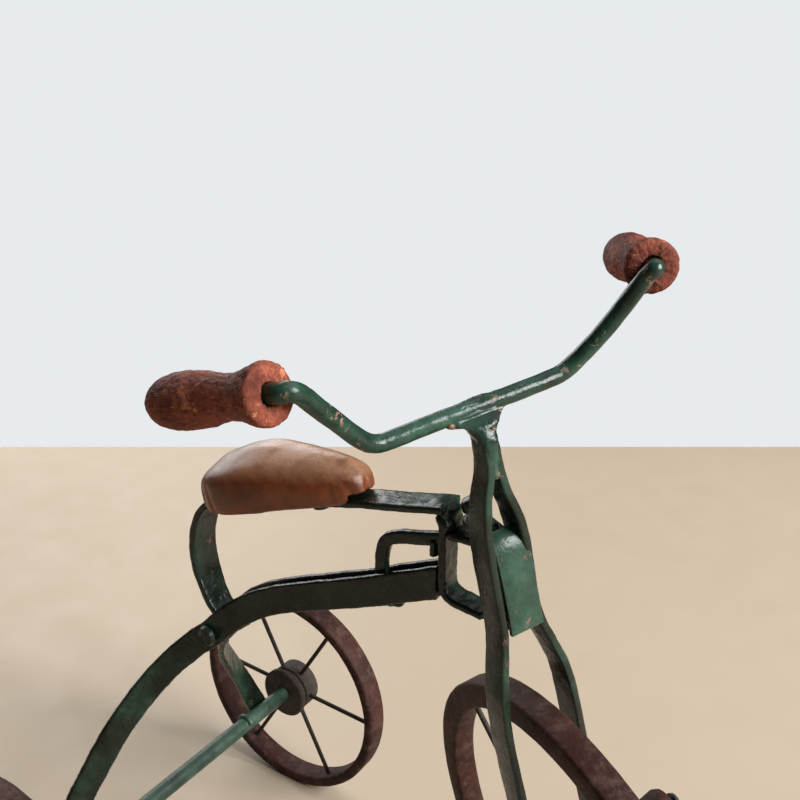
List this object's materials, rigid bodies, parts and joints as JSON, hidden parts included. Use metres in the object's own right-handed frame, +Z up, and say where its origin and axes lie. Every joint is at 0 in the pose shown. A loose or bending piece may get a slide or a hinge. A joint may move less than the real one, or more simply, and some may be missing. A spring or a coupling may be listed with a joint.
{
  "type": "tricycle",
  "caption": "Small metal tricycle with a flat-bar frame, a raked steering fork that holds the pedalled front wheel, wooden grips and a stuffed leather saddle.",
  "frame": {"origin": "under the middle of the bounding box, on the ground", "axes": "+X forward, +Y to the rider's left, +Z up"},
  "size_m": [0.2592, 0.1538, 0.2507],
  "materials": {
    "green_paint": "worn dark green paint",
    "maroon_paint": "dusty dark red paint",
    "hub_paint": "dark dusty paint",
    "spoke_wire": "dark rusted wire",
    "painted_wood": "worn red-brown paint over wood",
    "saddle_leather": "worn brown leather",
    "dark_steel": "blackened steel"
  },
  "bodies": {
    "frame": {"side_bar_left": "green_paint", "side_bar_right": "green_paint", "frame_rivet": "green_paint", "strip_eye": "green_paint", "seat_strip": "green_paint", "head_bracket": "green_paint", "head_top_arm": "green_paint", "head_strut": "green_paint", "saddle_leather": "saddle_leather", "saddle_pan": "dark_steel", "saddle_screw_front": "dark_steel", "saddle_screw_rear": "dark_steel", "rear_axle": "green_paint", "axle_cap_left": "dark_steel", "axle_cap_right": "dark_steel"},
    "rear_wheel_left": {"rear_rim_left": "maroon_paint", "rear_hub_left": "hub_paint", "rear_spoke_left_1": "spoke_wire", "rear_spoke_left_2": "spoke_wire", "rear_spoke_left_3": "spoke_wire", "rear_spoke_left_4": "spoke_wire", "rear_spoke_left_5": "spoke_wire", "rear_spoke_left_6": "spoke_wire"},
    "rear_wheel_right": {"rear_rim_right": "maroon_paint", "rear_hub_right": "hub_paint", "rear_spoke_right_1": "spoke_wire", "rear_spoke_right_2": "spoke_wire", "rear_spoke_right_3": "spoke_wire", "rear_spoke_right_4": "spoke_wire", "rear_spoke_right_5": "spoke_wire", "rear_spoke_right_6": "spoke_wire"},
    "steering": {"fork_bar_left": "green_paint", "fork_bar_right": "green_paint", "fork_crown": "green_paint", "steering_pin": "dark_steel", "crown_rivet": "dark_steel", "handlebar": "green_paint", "grip_left": "painted_wood", "grip_right": "painted_wood"},
    "front_wheel": {"front_rim": "maroon_paint", "front_hub": "hub_paint", "front_axle": "dark_steel", "crank_left": "green_paint", "crank_right": "green_paint", "pedal_pin_left": "dark_steel", "pedal_pin_right": "dark_steel", "front_spoke_1": "spoke_wire", "front_spoke_2": "spoke_wire", "front_spoke_3": "spoke_wire", "front_spoke_4": "spoke_wire", "front_spoke_5": "spoke_wire", "front_spoke_6": "spoke_wire"},
    "left_pedal": {"pedal_left": "painted_wood"},
    "right_pedal": {"pedal_right": "painted_wood"}
  },
  "joints": [
    {"name": "steering", "type": "hinge", "parent": "frame", "child": "steering", "pos_m": [0.08058, 0, 0.06705], "axis": [-0.3528, 0, 0.9357], "range_deg": [-9.5, 68]},
    {"name": "rear_roll_left", "type": "hinge", "parent": "frame", "child": "rear_wheel_left", "pos_m": [-0.08462, 0.06625, 0.045], "axis": [0, 1, 0], "continuous": true},
    {"name": "rear_roll_right", "type": "hinge", "parent": "frame", "child": "rear_wheel_right", "pos_m": [-0.08462, -0.06625, 0.045], "axis": [0, 1, 0], "continuous": true},
    {"name": "front_roll", "type": "hinge", "parent": "steering", "child": "front_wheel", "pos_m": [0.06871, 0.00681, 0.06774], "axis": [0.4972, 0.8471, 0.1875], "continuous": true},
    {"name": "pedal_spin_left", "type": "hinge", "parent": "front_wheel", "child": "left_pedal", "pos_m": [0.06768, 0.00297, 0.08785], "axis": [0.4972, 0.8471, 0.1875], "continuous": true},
    {"name": "pedal_spin_right", "type": "hinge", "parent": "front_wheel", "child": "right_pedal", "pos_m": [0.06975, 0.01066, 0.04763], "axis": [0.4972, 0.8471, 0.1875], "continuous": true}
  ]
}
